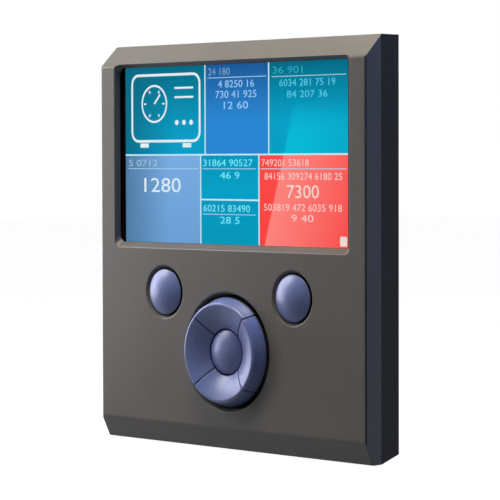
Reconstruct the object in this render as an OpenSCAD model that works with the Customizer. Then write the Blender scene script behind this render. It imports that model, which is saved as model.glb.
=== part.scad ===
// Panel-mounted display for an energy system: a bevelled front with a colour screen,
// two soft keys and a four-way key ring, on a stepped rear housing with the sockets.
// +Z is up, the screen faces -Y, and y = 0 is the face that rests on the panel.
// The origin is the centre of the four panel bolts.

/* [Outline] */
// Width across the front
body_w = 120; // [108:1:150]
// Height of the front
body_h = 130; // [117:1:160]
// Depth of the front housing, from its face to the parting line
front_d = 7.2; // [6.8:0.1:9]
// Depth of the rear housing's flange, from the parting line to the panel
flange_d = 7.8; // [7.4:0.1:10]
// Depth of the rear box, behind the panel
box_d = 13; // [12:0.5:20]
// Room between the outer network sockets and the rear box's side walls
box_room = 1.9; // [1.2:0.1:2.9]
// Flange beyond the rear box at the top and bottom
end_margin = 9; // [8.5:0.5:10]
// Corner radius of the rear box
box_r = 4; // [3:0.5:8]

/* [Front shape] */
// Height of the long bevel along the top
top_bevel_h = 6.9; // [6:0.1:8]
// Rounding between the face and the top bevel
top_round = 1; // [0.5:0.1:2]
// Depth of the bevel along the bottom
bottom_bevel_d = 3.3; // [2.8:0.1:4]
// Height of the bevel along the bottom
bottom_bevel_h = 6.8; // [5:0.1:7]
// Rounding between the face and the bottom bevel
bottom_round = 4; // [1:0.5:6]
// Rise of the flange's underside towards the panel
underside_rise = 2.5; // [1:0.1:2.6]
// Softening of the upright front edges
edge_soften = 0.4; // [0.2:0.1:0.8]
// Wall of both housings
wall = 2.2; // [1.8:0.1:2.6]
// Height of the lip that locates one housing in the other
lip_h = 1.5; // [1:0.1:2]
// Thickness of that lip
lip_t = 1.2; // [0.8:0.1:1.5]

/* [Screen] */
// Front housing beside the picture, left and right
side_frame = 9.5; // [9.5:0.1:14]
// Front housing below the picture, where the keys are
key_area_h = 65.3; // [65.2:0.1:70]
// Distance from the housing's top to the top of the picture
picture_drop = 7.4; // [7.4:0.1:7.8]
// Dark border beside the picture, at the back of the face
side_border = 2.25; // [1:0.05:2.4]
// Slope of the opening's top and bottom edges
lip_slope = 1.8; // [0.5:0.1:1.9]
// Slope of the opening's side edges
side_slope = 0.45; // [0.2:0.05:0.8]
// Corner radius of the opening
opening_r = 2.2; // [1:0.1:3]
// Window beyond the opening on each side
window_seat = 1.6; // [1.2:0.1:1.7]
// Thickness of the window's adhesive frame
gasket_t = 0.3; // [0.2:0.1:0.4]
// Thickness of the window
window_t = 0.7; // [0.5:0.1:0.9]
// Thickness of the display glass
glass_t = 1.8; // [1.5:0.1:2]
// Depth of the backlight behind the display glass
backlight_d = 3.2; // [2.9:0.1:3.5]
// Wall of the backlight tray
tray_wall = 0.5; // [0.4:0.1:0.6]
// Room between the backlight and the circuit board
board_room = 1.4; // [1.3:0.1:2]
// Width of the display's ribbon
ribbon_w = 32; // [20:1:34]
// Thickness of the ribbon
ribbon_t = 0.3; // [0.2:0.05:0.35]

/* [Keys] */
// Distance of each soft key from the middle
soft_key_x = 29.1; // [28.5:0.1:30.4]
// Height of the soft keys above the housing's bottom
soft_key_z = 49.4; // [49.2:0.1:49.8]
// Radius of a soft key
soft_key_r = 7.5; // [6.5:0.1:8]
// Depth of a soft key's rim below the face
soft_key_sink = 0.4; // [0.2:0.1:0.8]
// Height of a soft key's dome
soft_key_dome = 2.2; // [1:0.1:3]
// Height of the key ring's centre above the housing's bottom
ring_z = 31.3; // [31:0.1:31.5]
// Radius of the key ring at the back of the face
ring_r = 18.3; // [17.6:0.1:18.4]
// Radius of the ring's highest edge
ridge_r = 15.7; // [14:0.1:16]
// Height of that edge above the face
ridge_rise = 4; // [2:0.1:4.4]
// Rounding of that edge
ridge_round = 0.9; // [0.4:0.1:0.9]
// Radius of the ring's inner bore
ring_bore_r = 7.5; // [6.8:0.1:8]
// Height of the bore's edge above the face
bore_rise = 0.2; // [0:0.1:1]
// Bulge of the ring's upper face
ring_bulge = 0.5; // [0:0.1:0.6]
// Radius of the key ring at the face
ring_face_r = 17.1; // [16.8:0.1:17.6]
// Gap between two keys of the ring
split_gap = 0.3; // [0.2:0.05:0.5]
// Height of the centre key's dome
centre_dome = 2.1; // [1:0.1:3]
// Gap between a key and the wall that guides it
key_gap = 0.35; // [0.25:0.05:0.45]
// Travel of every key
key_travel = 0.7; // [0.4:0.05:0.8]
// Clearance in front of a key at rest and behind a pressed one
press_room = 0.15; // [0.1:0.05:0.25]
// Chamfer round a soft key's hole
hole_chamfer = 0.95; // [0.4:0.05:1]
// Chamfer round the key ring's hole
ring_chamfer = 0.55; // [0.2:0.05:0.6]
// Radial width of the flange that keeps a key in its hole
key_flange_w = 2; // [1.5:0.1:2.1]
// Thickness of that flange
key_flange_t = 1.2; // [1:0.1:1.4]
// Wall of the hollow keys
key_wall = 1.5; // [1.2:0.1:1.7]
// Radius of a soft key's foot
foot_r = 2.4; // [2:0.1:2.8]
// Radius of a ring key's foot
ring_foot_r = 2; // [1.5:0.1:2.2]
// Thickness of the keypad mat
mat_t = 1.2; // [0.8:0.1:1.3]
// Height of the mat's domes
mat_dome_h = 2; // [1.5:0.1:2.1]

/* [Circuit board] */
// Thickness of the board
board_t = 1.6; // [1.2:0.1:1.8]
// Room between a soft key's collar and the board screw beside it
screw_room = 1.25; // [0.5:0.05:1.5]
// Gap between the board's ends and the rear box's top and bottom walls
board_gap = 1; // [0.6:0.1:1.4]
// Distance of the board screws from the board's edges
board_screw_in = 4; // [3.6:0.1:4.3]
// Step of the layout on the back of the board
layout_step = 1; // [0.98:0.01:1.04]
// Side of the processor's package
processor_w = 17; // [14:1:18]
// Height of the processor's heat sink
sink_h = 6; // [3:0.5:9]

/* [Sockets] */
// Mouth of every socket below the rear face
socket_sink = 0.4; // [0.2:0.1:1]
// Clearance round a socket in the rear wall
socket_gap = 0.3; // [0.2:0.05:0.4]
// Pitch of the five network sockets
jack_pitch = 17; // [16.6:0.1:17.2]
// Width of a network socket
jack_w = 15.2; // [14.6:0.1:15.5]
// Height of a network socket
jack_h = 13.4; // [12.6:0.1:14]
// Height of the network sockets' middle above the housing's bottom
jack_z = 21; // [20:0.5:24]
// Width of a network socket's mouth
plug_w = 11.9; // [11.7:0.1:12.4]
// Height of a network socket's mouth
plug_h = 6.9; // [6.7:0.1:7.4]
// Depth of a network socket's mouth
plug_d = 12.2; // [10:0.1:13]
// Width of the channel for the plug's latch
latch_w = 6.2; // [5.8:0.1:6.6]
// Height of that channel
latch_h = 2.2; // [1.6:0.1:2.4]
// Distance of the upper row of sockets from the housing's top
upper_row_drop = 21; // [19:0.5:22]
// Pitch of the two USB sockets, and of the two terminal sockets
upper_pitch = 19; // [17:0.5:20]
// Distance of the outer USB socket from the middle
usb_x = 33; // [31:0.5:34]
// Distance of the outer terminal socket from the middle
terminal_x = 31; // [29:0.5:34]
// Distance of each serial socket above or below their middle
serial_rise = 6; // [4:0.5:8]
// Width of a USB socket
usb_w = 14.4; // [13.8:0.1:15]
// Height of a USB socket
usb_h = 6.8; // [6.4:0.1:7.4]
// Width of a two-pole terminal socket
terminal_w = 12.2; // [11.6:0.1:13]
// Height of a two-pole terminal socket
terminal_h = 8.8; // [8:0.1:9.4]
// Depth of a terminal socket's mouth
terminal_d = 8.5; // [6:0.5:10]
// Pitch of its two pins
terminal_pitch = 5.08; // [3.5:0.01:5.08]
// Tips of its pins below its mouth
terminal_pin_sink = 4.6; // [2:0.2:5]
// Width of a serial socket
serial_w = 11.9; // [11:0.1:12.5]
// Height of a serial socket
serial_h = 5.6; // [5.2:0.1:6.4]
// Depth of a serial socket's mouth
serial_d = 6.5; // [5:0.5:9]
// Pitch of its four pins
serial_pitch = 2; // [1.5:0.1:2.5]
// Tips of its pins below its mouth
serial_pin_sink = 2; // [1:0.2:4]

/* [Fasteners] */
// Radius of the housing and board screws
screw_r = 1.2; // [1:0.05:1.25]
// Head radius of those screws
screw_head_r = 2.3; // [2:0.1:2.4]
// Head height of those screws
screw_head_t = 1.4; // [1:0.1:1.6]
// Housing screws in from the side edges
case_screw_in = 3; // [2.9:0.1:3.1]
// Housing screws in from the top and bottom edges
case_screw_end = 5.6; // [5.4:0.1:6]
// Grip of a housing screw in the front housing
case_grip = 2.6; // [2:0.1:3]
// Grip of a board screw in the front housing
board_grip = 4; // [3:0.1:5]
// Panel bolts in from the side edges
bolt_in = 4; // [3.9:0.1:4.2]
// Distance between the upper and lower panel bolts
bolt_span_z = 88; // [70:1:90]
// Bore radius of a panel insert, for an M3 bolt
insert_bore_r = 1.25; // [1:0.05:1.4]
// Outer radius of a panel insert
insert_r = 2.1; // [1.8:0.1:2.2]
// Length of a panel insert
insert_l = 5; // [4:0.1:5.2]

/* [Hidden] */

$fn = 96;
eps = 0.01;
fit = 0.2;
arc_steps = 8;

// Depth stations, front to back
face_y = -(flange_d + front_d);
part_y = -flange_d;
plate_y = face_y + wall;
window_y = plate_y + gasket_t;
glass_y = window_y + window_t + fit;
glass_back_y = glass_y + glass_t;
tray_back_y = glass_back_y + backlight_d;
board_y = tray_back_y + board_room;
board_back_y = board_y + board_t;
socket_y = box_d - socket_sink;

// Outline
half_w = body_w / 2;
half_h = body_h / 2;
face_top_z = half_h - top_bevel_h;
face_bottom_z = -half_h + bottom_bevel_h;
box_w = 4 * jack_pitch + jack_w + 2 * (socket_gap + box_room + wall);
box_h = body_h - 2 * end_margin;
inner_box_w = box_w - 2 * wall;
inner_box_h = box_h - 2 * wall;

// Screen
picture_w = body_w - 2 * side_frame;
picture_h = body_h - picture_drop - key_area_h;
picture_z = half_h - picture_drop - picture_h / 2;
opening_w = picture_w + 2 * side_border;
window_w = opening_w + 2 * window_seat;
window_h = picture_h + 2 * window_seat;
glass_w = window_w - 1.6;
glass_h = window_h - 0.2;
tray_w = glass_w + 2 * (tray_wall + fit);
tray_h = glass_h + 2 * (tray_wall + fit);
tray_bottom_z = picture_z - tray_h / 2;
tray_rim = 0.6 * glass_t;
rest_r = 3;
ribbon_back_y = board_y - 0.6;
ribbon_front_y = glass_back_y - 0.6;
ribbon_turn_r = (ribbon_back_y - ribbon_front_y) / 2;
ribbon_turn_z = tray_bottom_z - 1;
ribbon_end_z = ribbon_turn_z + 9;
rib_t = 1;

// Keys
soft_z = soft_key_z - half_h;
pad_z = ring_z - half_h;
soft_bore_r = soft_key_r + key_gap;
pad_bore_r = ring_r + key_gap;
flange_y = plate_y + press_room;
flange_back_y = flange_y + key_flange_t;
mat_y = board_y - mat_t;
dome_y = mat_y - mat_dome_h;
foot_y = dome_y - key_travel - press_room;
ring_foot_at = (ring_bore_r + ridge_r) / 2 + 0.8;
centre_r = ring_bore_r - key_gap;
centre_flange_y = flange_back_y + key_travel + 2 * press_room;
collar_gap = 0.3;
collar_t = 1;
dome_skin = 0.9;
mat_edge = 0.9;
ribbon_room = 1.4;
mat_w = 2 * (soft_key_x + soft_bore_r + key_flange_w + 0.6);
mat_top_z = ribbon_turn_z - ribbon_turn_r - ribbon_room;
mat_bottom_z = pad_z - ring_r;

// Board
board_h = inner_box_h - 2 * board_gap;
board_r = 2;
board_screw_end = board_h / 2 - board_screw_in;
board_boss_r = 3;
board_screw_x = soft_key_x + soft_bore_r + key_flange_w + collar_gap + collar_t + screw_room + board_boss_r;
board_w = 2 * (board_screw_x + board_screw_in);
case_boss_r = 2.4;
board_screw_spots = [for (x = [-1, 1], z = [-board_screw_end, soft_z + 3.6]) [x * board_screw_x, z]];
case_screw_spots = [for (x = [-1, 1], z = [-1, 1]) [x * (half_w - case_screw_in), z * (half_h - case_screw_end)]];
insert_spots = [for (x = [-1, 1], z = [-1, 1]) [x * (half_w - bolt_in), z * bolt_span_z / 2]];
insert_wall = 1.5;
insert_floor = 0.8;
screw_clear = 0.05;
rest_post_x = inner_box_w / 2 + case_boss_r + fit;

// Sockets in the rear wall, each as [x, z, width, height]
upper_z = half_h - upper_row_drop;
lower_z = jack_z - half_h;
middle_z = (upper_z + lower_z) / 2 + 4;
jack_spots = [for (i = [-2 : 2]) [i * jack_pitch, lower_z, jack_w, jack_h]];
usb_spots = [for (i = [0, 1]) [i * upper_pitch - usb_x, upper_z, usb_w, usb_h]];
terminal_spots = [for (i = [1, 0]) [terminal_x - i * upper_pitch, upper_z, terminal_w, terminal_h]];
serial_spots = [for (i = [1, -1]) [-usb_x, middle_z + i * serial_rise, serial_w, serial_h]];
socket_spots = concat(jack_spots, usb_spots, terminal_spots, serial_spots);

// Parts on the back of the board, each as [x, z]
function laid(x, z) = [x * layout_step, middle_z + z * layout_step];
processor_spot = laid(8, 0);
memory_spot = laid(29, 8);
flash_spot = laid(29, -8);
network_spot = laid(-10, -26);
coil_spot = laid(24, 22);
capacitor_spots = [laid(-15, 25), laid(-4, 25)];
buzzer_spot = laid(-14, 0);
cell_spot = laid(35, -26);

steel = [0.74, 0.75, 0.77];
black = [0.1, 0.1, 0.11];
key_blue = [0.38, 0.43, 0.62];

// A shape given in x and z, as a slab from y0 back to y1
module slab(y0, y1) {
    translate([0, y1, 0]) rotate([90, 0, 0]) linear_extrude(y1 - y0) children();
}

// A section given in y and z, as a prism along x about the middle
module along_x(length) {
    translate([-length / 2, 0, 0]) rotate([90, 0, 90]) linear_extrude(length) children();
}

// A section given as radius and height towards the viewer, turned about an axis along y
module turned(x, z) {
    translate([x, 0, z]) rotate([90, 0, 0]) rotate_extrude() children();
}

// A round bar along y
module bar(spot, r, y0, y1) {
    translate([spot[0], y1, spot[1]]) rotate([90, 0, 0]) cylinder(h = y1 - y0, r = r);
}

// A block given by its middle in x and z
module block(x, z, w, h, y0, y1) {
    translate([x - w / 2, y0, z - h / 2]) cube([w, y1 - y0, h]);
}

// A rectangle with round corners
module rounded(w, h, r) {
    square([w - 2 * r, h], center = true);
    square([w, h - 2 * r], center = true);
    for (x = [-1, 1], z = [-1, 1]) translate([x * (w / 2 - r), z * (h / 2 - r)]) circle(r);
}

// Points of the arc with radius r that rounds corner b, on the way from a to c
function unit(v) = v / norm(v);
function corner(a, b, c, r) =
    let (u = unit(a - b), v = unit(c - b), half = acos(u * v) / 2,
         middle = b + unit(u + v) * r / sin(half),
         first = b + u * r / tan(half) - middle, last = b + v * r / tan(half) - middle)
    [for (i = [0 : arc_steps]) middle + r * unit(first * (1 - i / arc_steps) + last * (i / arc_steps))];

// Section of the front housing, in y and z
bevel_foot = [face_y + bottom_bevel_d, -half_h];
face_low = [face_y, face_bottom_z];
face_high = [face_y, face_top_z];
bevel_head = [part_y, half_h];
front_section = concat(
    [bevel_head, [part_y, -half_h], bevel_foot],
    corner(bevel_foot, face_low, face_high, bottom_round),
    corner(face_low, face_high, bevel_head, top_round)
);

// Inside of the two bevels, one wall from their outside
top_slope = top_bevel_h / front_d;
bottom_slope = bottom_bevel_h / bottom_bevel_d;
function inner_top(y) = face_top_z + (y - face_y) * top_slope - wall * norm([1, top_slope]);
function inner_bottom(y) = face_bottom_z - (y - face_y) * bottom_slope + wall * norm([1, bottom_slope]);
floor_z = -half_h + wall;
floor_y = plate_y + (inner_bottom(plate_y) - floor_z) / bottom_slope;
front_cavity = [
    [part_y + 1, inner_top(part_y + 1)], [plate_y, inner_top(plate_y)], [plate_y, inner_bottom(plate_y)],
    [floor_y, floor_z], [part_y + 1, floor_z]
];

module front_block() {
    s = edge_soften;
    intersection() {
        along_x(body_w) polygon(front_section);
        translate([0, 0, -half_h - 1]) linear_extrude(body_h + 2) polygon([
            [-half_w + s, face_y], [half_w - s, face_y], [half_w, face_y + s],
            [half_w, part_y], [-half_w, part_y], [-half_w, face_y + s]
        ]);
    }
}

// The window's opening narrows from the face to the back of the plate
module window_opening() {
    translate([0, 0, picture_z]) hull() {
        slab(face_y - eps, face_y)
            rounded(opening_w + 2 * side_slope, picture_h + 2 * lip_slope, opening_r, $fn = 32);
        slab(plate_y, plate_y + eps) rounded(opening_w, picture_h, opening_r, $fn = 32);
    }
}

module key_hole(x, z, r, chamfer) {
    turned(x, z) polygon([
        [0, -plate_y - 1], [r, -plate_y - 1], [r, -face_y - chamfer], [r + chamfer, -face_y],
        [r + chamfer, -face_y + 1], [0, -face_y + 1]
    ]);
}

// A low wall behind the face, round a key's flange
module collar(x, z, bore_r) {
    top = flange_back_y + key_travel;
    turned(x, z) translate([bore_r + key_flange_w + collar_gap, -top])
        square([collar_t, top - plate_y + eps]);
}

// Front housing: moulded shell with the sloped window, the key holes, collars and screw bosses
module front_housing() {
    rib_w = (window_w - ribbon_w) / 2 - 4;
    color([0.36, 0.36, 0.37])
    difference() {
        union() {
            difference() {
                front_block();
                along_x(body_w - 2 * wall) polygon(front_cavity);
            }
            intersection() {
                front_block();
                for (p = case_screw_spots) bar(p, case_boss_r, face_y, part_y);
            }
            for (p = board_screw_spots) bar(p, board_boss_r, plate_y - eps, board_y);
            for (x = [-1, 1]) {
                collar(x * soft_key_x, soft_z, soft_bore_r);
                block(x * (window_w - rib_w) / 2, tray_bottom_z - fit - rib_t / 2, rib_w, rib_t,
                    plate_y - eps, glass_back_y);
            }
            collar(0, pad_z, pad_bore_r);
        }
        window_opening();
        block(0, picture_z, window_w + 2 * fit, window_h + 2 * fit, plate_y, glass_y);
        block(0, picture_z, tray_w + 2 * fit, tray_h + 2 * fit, glass_y - fit, part_y + 1);
        for (x = [-1, 1]) key_hole(x * soft_key_x, soft_z, soft_bore_r, hole_chamfer);
        key_hole(0, pad_z, pad_bore_r, ring_chamfer);
        for (p = case_screw_spots) bar(p, screw_r + screw_clear, part_y - case_grip - fit, part_y + 1);
        for (p = board_screw_spots) bar(p, screw_r + screw_clear, board_y - board_grip - fit, board_y + 1);
    }
}

// Height of the flange's underside at depth y
function underside(y) = -half_h + underside_rise * (y - part_y) / flange_d;

// A lip inside the side walls that reaches into the front housing
module side_lip(side) {
    length = bolt_span_z - 2 * (insert_r + insert_wall) - 2;
    edge = half_w - wall;
    block(side * (edge - fit - lip_t / 2), 0, lip_t, length, part_y - lip_h, part_y + lip_h);
    block(side * (edge - lip_t / 2), 0, lip_t + 2 * fit, length, part_y, part_y + lip_h);
}

// Rear housing: stepped shell with the panel flange, bosses, rests, screw reliefs and socket cut-outs
module rear_housing() {
    color([0.13, 0.13, 0.14])
    difference() {
        union() {
            difference() {
                union() {
                    along_x(body_w) polygon([[part_y, half_h], [0, half_h], [0, underside(0)], [part_y, underside(part_y)]]);
                    slab(-eps, box_d) rounded(box_w, box_h, box_r);
                }
                along_x(body_w - 2 * wall) polygon([
                    [part_y - 1, half_h - wall], [-wall, half_h - wall],
                    [-wall, underside(-wall) + wall], [part_y - 1, underside(part_y - 1) + wall]
                ]);
                slab(-wall - 1, box_d - wall) rounded(inner_box_w, inner_box_h, box_r - wall);
            }
            for (p = insert_spots) bar(p, insert_r + insert_wall, -insert_l - insert_floor, -wall / 2);
            for (p = case_screw_spots) bar(p, case_boss_r, part_y, -wall / 2);
            for (x = [-1, 1]) {
                bar([x * rest_post_x, board_screw_end], case_boss_r, board_back_y, -wall / 2);
                side_lip(x);
            }
        }
        for (p = insert_spots) bar(p, insert_r, -insert_l, 1);
        for (p = case_screw_spots) {
            bar(p, screw_r + screw_clear, part_y - 1, 1);
            bar(p, screw_head_r + fit / 2, -screw_head_t - fit, 1);
        }
        for (p = board_screw_spots)
            bar(p, screw_head_r + 2 * fit, -wall - 1, board_back_y + screw_head_t + 3 * fit);
        for (p = socket_spots)
            block(p[0], p[1], p[2] + 2 * socket_gap, p[3] + 2 * socket_gap, box_d - wall - 1, box_d + 1);
    }
}

// Black adhesive frame between the housing and the window
module window_gasket() {
    color([0.03, 0.03, 0.04])
    translate([0, 0, picture_z]) slab(plate_y, window_y) difference() {
        rounded(window_w, window_h, opening_r);
        rounded(opening_w + fit, picture_h + fit, opening_r);
    }
}

// Clear window
module display_window() {
    color([0.75, 0.85, 0.9, 0.4])
    translate([0, 0, picture_z]) slab(window_y, window_y + window_t) rounded(window_w, window_h, opening_r);
}

// Display glass, with the thinner driver ledge along its bottom edge
module lcd_panel() {
    ledge_h = 0.6;
    color([0.08, 0.3, 0.38])
    difference() {
        block(0, picture_z, glass_w, glass_h, glass_y, glass_back_y);
        block(0, picture_z - glass_h / 2, glass_w + 1, 2 * ledge_h, glass_y - 1, glass_y + glass_t / 3);
    }
}

// Backlight: metal tray with a rim round the glass, four embossed rests and a notch for the ribbon
module backlight_tray() {
    rim_y = glass_back_y - tray_rim;
    color(steel)
    difference() {
        union() {
            block(0, picture_z, tray_w, tray_h, rim_y, tray_back_y);
            for (x = [-1, 1], z = [-1, 1])
                bar([x * tray_w / 3.2, picture_z + z * tray_h / 4], rest_r, tray_back_y - eps, board_y);
        }
        block(0, picture_z, glass_w + 2 * fit, glass_h + 2 * fit, rim_y - 1, glass_back_y);
        block(0, tray_bottom_z, ribbon_w + 2, 2 * (tray_wall + 2 * fit), rim_y - 1, glass_back_y);
    }
}

// Flat ribbon: from the display glass, round the tray's lower edge, to its socket
module lcd_ribbon() {
    start_z = picture_z - glass_h / 2;
    color([0.75, 0.5, 0.2]) {
        block(0, (start_z + ribbon_turn_z) / 2, ribbon_w, start_z - ribbon_turn_z,
            ribbon_front_y, ribbon_front_y + ribbon_t);
        block(0, (ribbon_end_z + ribbon_turn_z) / 2, ribbon_w, ribbon_end_z - ribbon_turn_z,
            ribbon_back_y - ribbon_t, ribbon_back_y);
        along_x(ribbon_w) translate([(ribbon_front_y + ribbon_back_y) / 2, ribbon_turn_z]) difference() {
            circle(ribbon_turn_r);
            circle(ribbon_turn_r - ribbon_t);
            translate([-ribbon_turn_r - 1, 0]) square(2 * ribbon_turn_r + 2);
        }
    }
}

// Socket on the board that takes the ribbon's end
module ribbon_socket() {
    depth = 4.4;
    color([0.85, 0.83, 0.76])
    difference() {
        block(0, ribbon_end_z, ribbon_w + 3, depth, tray_back_y + fit / 2, board_y);
        block(0, ribbon_end_z - depth / 2, ribbon_w + fit, depth, ribbon_back_y - ribbon_t, ribbon_back_y);
    }
}

// Section of a domed key: a hollow cap on a retaining flange, with a foot in its middle
module domed_section(r, rim_h, dome, flange_r, flange_h, flange_low_h, foot_h) {
    crown_r = (r * r + dome * dome) / (2 * dome);
    difference() {
        union() {
            intersection() {
                translate([0, rim_h + dome - crown_r]) circle(crown_r, $fn = 180);
                translate([0, flange_low_h]) square([r, rim_h + dome - flange_low_h]);
            }
            translate([0, flange_low_h]) square([flange_r, flange_h - flange_low_h]);
        }
        translate([foot_r, flange_low_h - 1]) square([r - key_wall - foot_r, rim_h - key_wall - flange_low_h + 1]);
    }
    translate([0, foot_h]) square([foot_r, flange_low_h - foot_h + eps]);
}

module soft_key(side) {
    color(key_blue)
    turned(side * soft_key_x, soft_z) domed_section(
        soft_key_r, -face_y - soft_key_sink, soft_key_dome,
        soft_bore_r + key_flange_w, -flange_y, -flange_back_y, -foot_y);
}

module left_key() { soft_key(-1); }
module right_key() { soft_key(1); }

// The centre key's flange lies behind the ring, which keeps it in
module centre_key() {
    color(key_blue)
    turned(0, pad_z) domed_section(
        centre_r, -face_y, centre_dome,
        centre_r + key_wall, -centre_flange_y, -foot_y, -foot_y);
}

// Section of the key ring: bore, rising face, rounded ridge, flaring flank and retaining flange
bore_edge = [ring_bore_r, -face_y + bore_rise];
ridge = [ridge_r, -face_y + ridge_rise];
flank = [ring_face_r, -face_y];
function rise(t) = bore_edge * (1 - t) + ridge * t + [0, ring_bulge * 4 * t * (1 - t)];
ring_section = concat(
    [[ring_bore_r, -flange_back_y]],
    [for (i = [0 : arc_steps - 1]) rise(i / arc_steps)],
    corner(rise(1 - 1 / arc_steps), ridge, flank, ridge_round),
    [flank, [ring_r, -plate_y], [ring_r, -flange_y], [pad_bore_r + key_flange_w, -flange_y],
     [pad_bore_r + key_flange_w, -flange_back_y]]
);

// A quarter turn of the plan, pointing up, with its edges drawn in by a margin
module quarter(margin) {
    reach = 2 * ring_r;
    start = margin * sqrt(2);
    slab(face_y - 2 * ridge_rise, 0) polygon([[0, start], [reach, reach + start], [-reach, reach + start]]);
}

// One key of the ring, hollow behind its face, with a foot on a web
module ring_key(turn) {
    groove_in = ring_bore_r + key_wall;
    groove_w = ring_r - 0.3 - key_wall - groove_in;
    groove_y = plate_y - 0.8;
    color(key_blue)
    translate([0, 0, pad_z]) rotate([0, turn, 0]) {
        difference() {
            intersection() {
                turned(0, 0) polygon(ring_section);
                quarter(split_gap / 2);
            }
            difference() {
                intersection() {
                    turned(0, 0) translate([groove_in, -flange_back_y - 1]) square([groove_w, flange_back_y - groove_y + 1]);
                    quarter(split_gap / 2 + key_wall);
                }
                block(0, ridge_r, ring_foot_r, 2 * ring_r, face_y, 0);
            }
        }
        bar([0, ring_foot_at], ring_foot_r, groove_y - eps, foot_y);
    }
}

module up_key() { ring_key(0); }
module next_key() { ring_key(90); }
module down_key() { ring_key(180); }
module previous_key() { ring_key(270); }

// Domes of the mat, each as [x, z, radius]
mat_domes = concat(
    [for (x = [-1, 1]) [x * soft_key_x, soft_z, foot_r + 1.4]],
    [[0, pad_z, foot_r + 1]],
    [for (a = [0 : 90 : 270]) [ring_foot_at * sin(a), pad_z + ring_foot_at * cos(a), ring_foot_r + 1]]
);

// Silicone keypad mat: one sheet with a hollow dome behind each key
module keypad_mat() {
    color([0.25, 0.26, 0.28])
    difference() {
        union() {
            translate([0, 0, (mat_top_z + mat_bottom_z) / 2])
                slab(mat_y, board_y) rounded(mat_w, mat_top_z - mat_bottom_z, 4);
            for (d = mat_domes) turned(d[0], d[1]) polygon([
                [0, -mat_y - eps], [d[2], -mat_y - eps], [d[2] - mat_edge, -dome_y], [0, -dome_y]
            ]);
        }
        for (d = mat_domes) turned(d[0], d[1]) polygon([
            [0, -board_y - 1], [d[2] - dome_skin, -board_y - 1], [d[2] - dome_skin, -mat_y],
            [d[2] - dome_skin - mat_edge / 2, -dome_y - dome_skin], [0, -dome_y - dome_skin]
        ]);
    }
}

// Circuit board
module main_board() {
    color([0.05, 0.32, 0.18])
    slab(board_y, board_back_y) difference() {
        rounded(board_w, board_h, board_r);
        for (p = board_screw_spots) translate(p) circle(screw_r + fit);
        for (p = insert_spots) translate(p) circle(insert_r + insert_wall + board_gap);
    }
}

// A chip with legs along two sides
module chip(spot, w, h, t, legs) {
    pitch = h / (legs + 1);
    color(black) {
        block(spot[0], spot[1], w, h, board_back_y + 0.15, board_back_y + t);
        for (side = [-1, 1], i = [1 : legs])
            block(spot[0] + side * w / 2, spot[1] - h / 2 + i * pitch, 2, pitch / 2, board_back_y, board_back_y + t / 2);
    }
}

// Processor under a finned heat sink
module processor() {
    package_t = 1.4;
    base_t = 1.2;
    fins = 6;
    fin_pitch = (processor_w - 1) / (fins - 1);
    x = processor_spot[0];
    z = processor_spot[1];
    color([0.3, 0.31, 0.33]) {
        block(x, z, processor_w - 1, processor_w - 1, board_back_y, board_back_y + package_t);
        block(x, z, processor_w, processor_w, board_back_y + package_t - eps, board_back_y + package_t + base_t);
        for (i = [0 : fins - 1])
            block(x - (processor_w - 1) / 2 + i * fin_pitch, z, 1, processor_w,
                board_back_y + package_t, board_back_y + package_t + sink_h);
    }
}

module memory_chip() { chip(memory_spot, 9, 12, 1.4, 8); }
module flash_chip() { chip(flash_spot, 9, 12, 1.4, 8); }
module network_chip() { chip(network_spot, 10, 10, 1.2, 7); }

// Shielded coil of the power supply
module power_coil() {
    coil_w = 12;
    coil_t = 6;
    color([0.28, 0.28, 0.3])
    difference() {
        translate([coil_spot[0], 0, coil_spot[1]])
            slab(board_back_y, board_back_y + coil_t) rounded(coil_w, coil_w, 2.5);
        bar(coil_spot, coil_w / 3, board_back_y + coil_t - 0.6, board_back_y + coil_t + 1);
    }
}

// Electrolytic capacitor on its square base
module capacitor(spot) {
    can_r = 4;
    color([0.6, 0.62, 0.66]) {
        block(spot[0], spot[1], 2 * can_r + 0.3, 2 * can_r + 0.3, board_back_y, board_back_y + 1);
        bar(spot, can_r, board_back_y, board_back_y + 10);
    }
}

module capacitor_1() { capacitor(capacitor_spots[0]); }
module capacitor_2() { capacitor(capacitor_spots[1]); }

// Buzzer: a round case with a sound hole
module buzzer() {
    case_r = 6;
    case_t = 5.5;
    hole_r = 1;
    hole_d = 2;
    color(black)
    difference() {
        bar(buzzer_spot, case_r, board_back_y, board_back_y + case_t);
        bar(buzzer_spot, hole_r, board_back_y + case_t - hole_d, board_back_y + case_t + 1);
    }
}

// Coin cell on its base
module backup_cell() {
    base_w = 10;
    base_h = 12;
    base_t = 1.2;
    cell_r = 6.2;
    cell_t = 2.2;
    color(steel) {
        block(cell_spot[0], cell_spot[1], base_w, base_h, board_back_y, board_back_y + base_t);
        bar(cell_spot, cell_r, board_back_y + base_t - eps, board_back_y + base_t + cell_t);
    }
}

// Network socket: a shielded box with a stepped mouth for the plug and its latch
module jack(i) {
    x = jack_spots[i - 1][0];
    z = jack_spots[i - 1][1] + latch_h / 2;
    color(steel)
    difference() {
        block(x, jack_spots[i - 1][1], jack_w, jack_h, board_back_y, socket_y);
        block(x, z, plug_w, plug_h, socket_y - plug_d, socket_y + 1);
        block(x, z - plug_h / 2, latch_w, 2 * latch_h, socket_y - plug_d, socket_y + 1);
    }
}

module jack_1() { jack(1); }
module jack_2() { jack(2); }
module jack_3() { jack(3); }
module jack_4() { jack(4); }
module jack_5() { jack(5); }

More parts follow.
